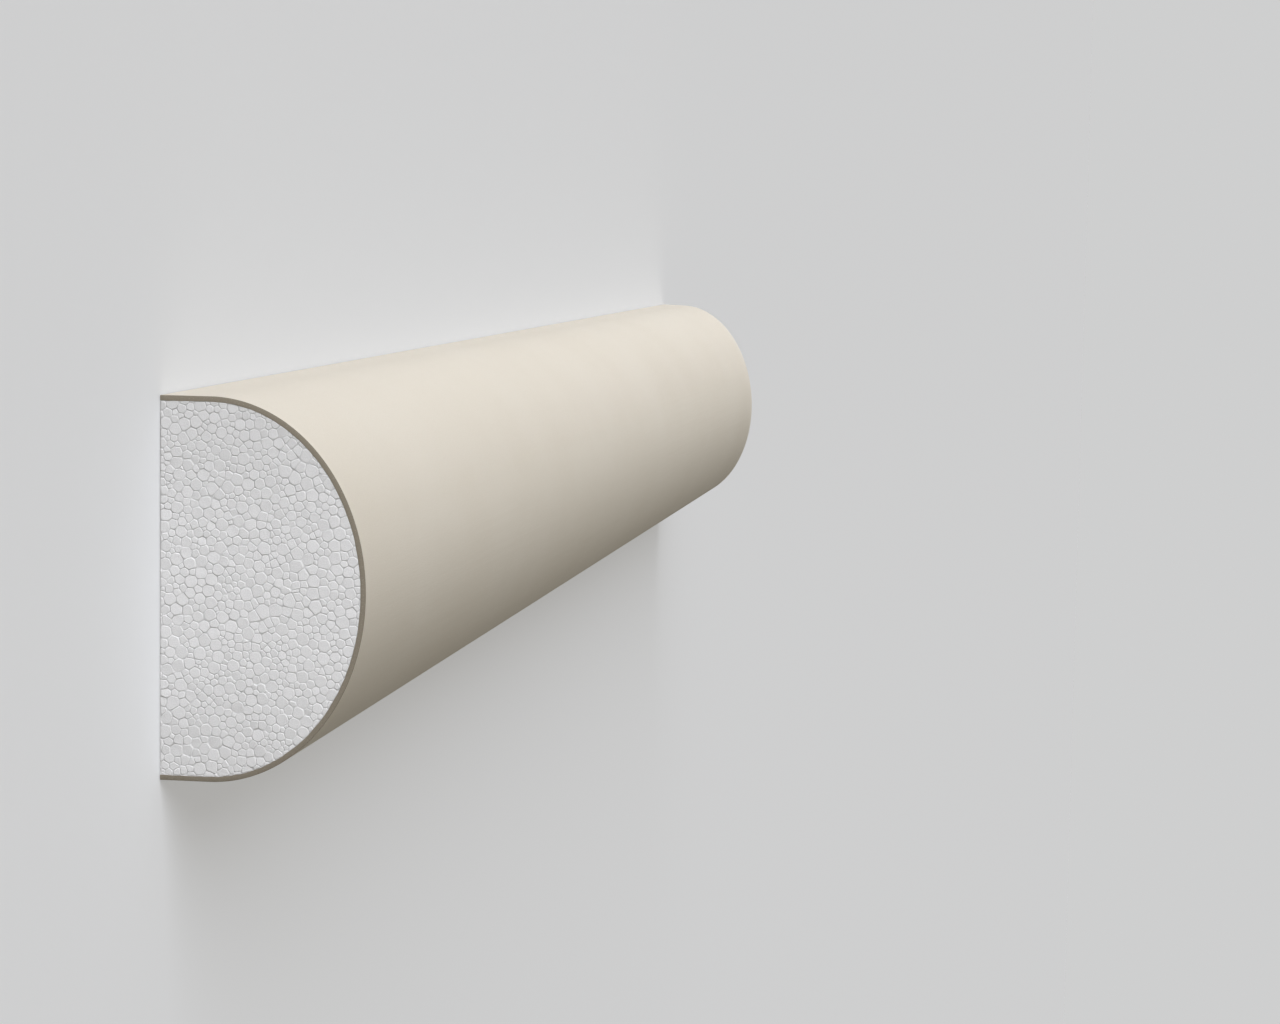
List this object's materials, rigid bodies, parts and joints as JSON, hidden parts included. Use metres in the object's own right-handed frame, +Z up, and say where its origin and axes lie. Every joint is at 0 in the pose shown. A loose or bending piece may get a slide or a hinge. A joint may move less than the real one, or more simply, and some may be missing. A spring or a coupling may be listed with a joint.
{
  "type": "foam trim moulding",
  "caption": "Length of tall half-round trim moulding: bead foam core with a render coat on the face and returns, bare flat back, one end square and one mitred.",
  "frame": {"origin": "middle of the flat back, on the floor that the length lies on, halfway between the two ends of the back", "axes": "+X along the length towards the mitred end, +Y across the back towards the edge that is the upper one on the wall in the picture, +Z up from the back to the nose"},
  "size_m": [1.74, 0.2, 0.109],
  "materials": {
    "bead_foam": "saw-cut white bead foam, matt",
    "render": "fine smooth cream render, matt; taupe where it is cut"
  },
  "bodies": {
    "root": {"foam_core": "bead_foam", "render_coat": "render"}
  },
  "joints": []
}
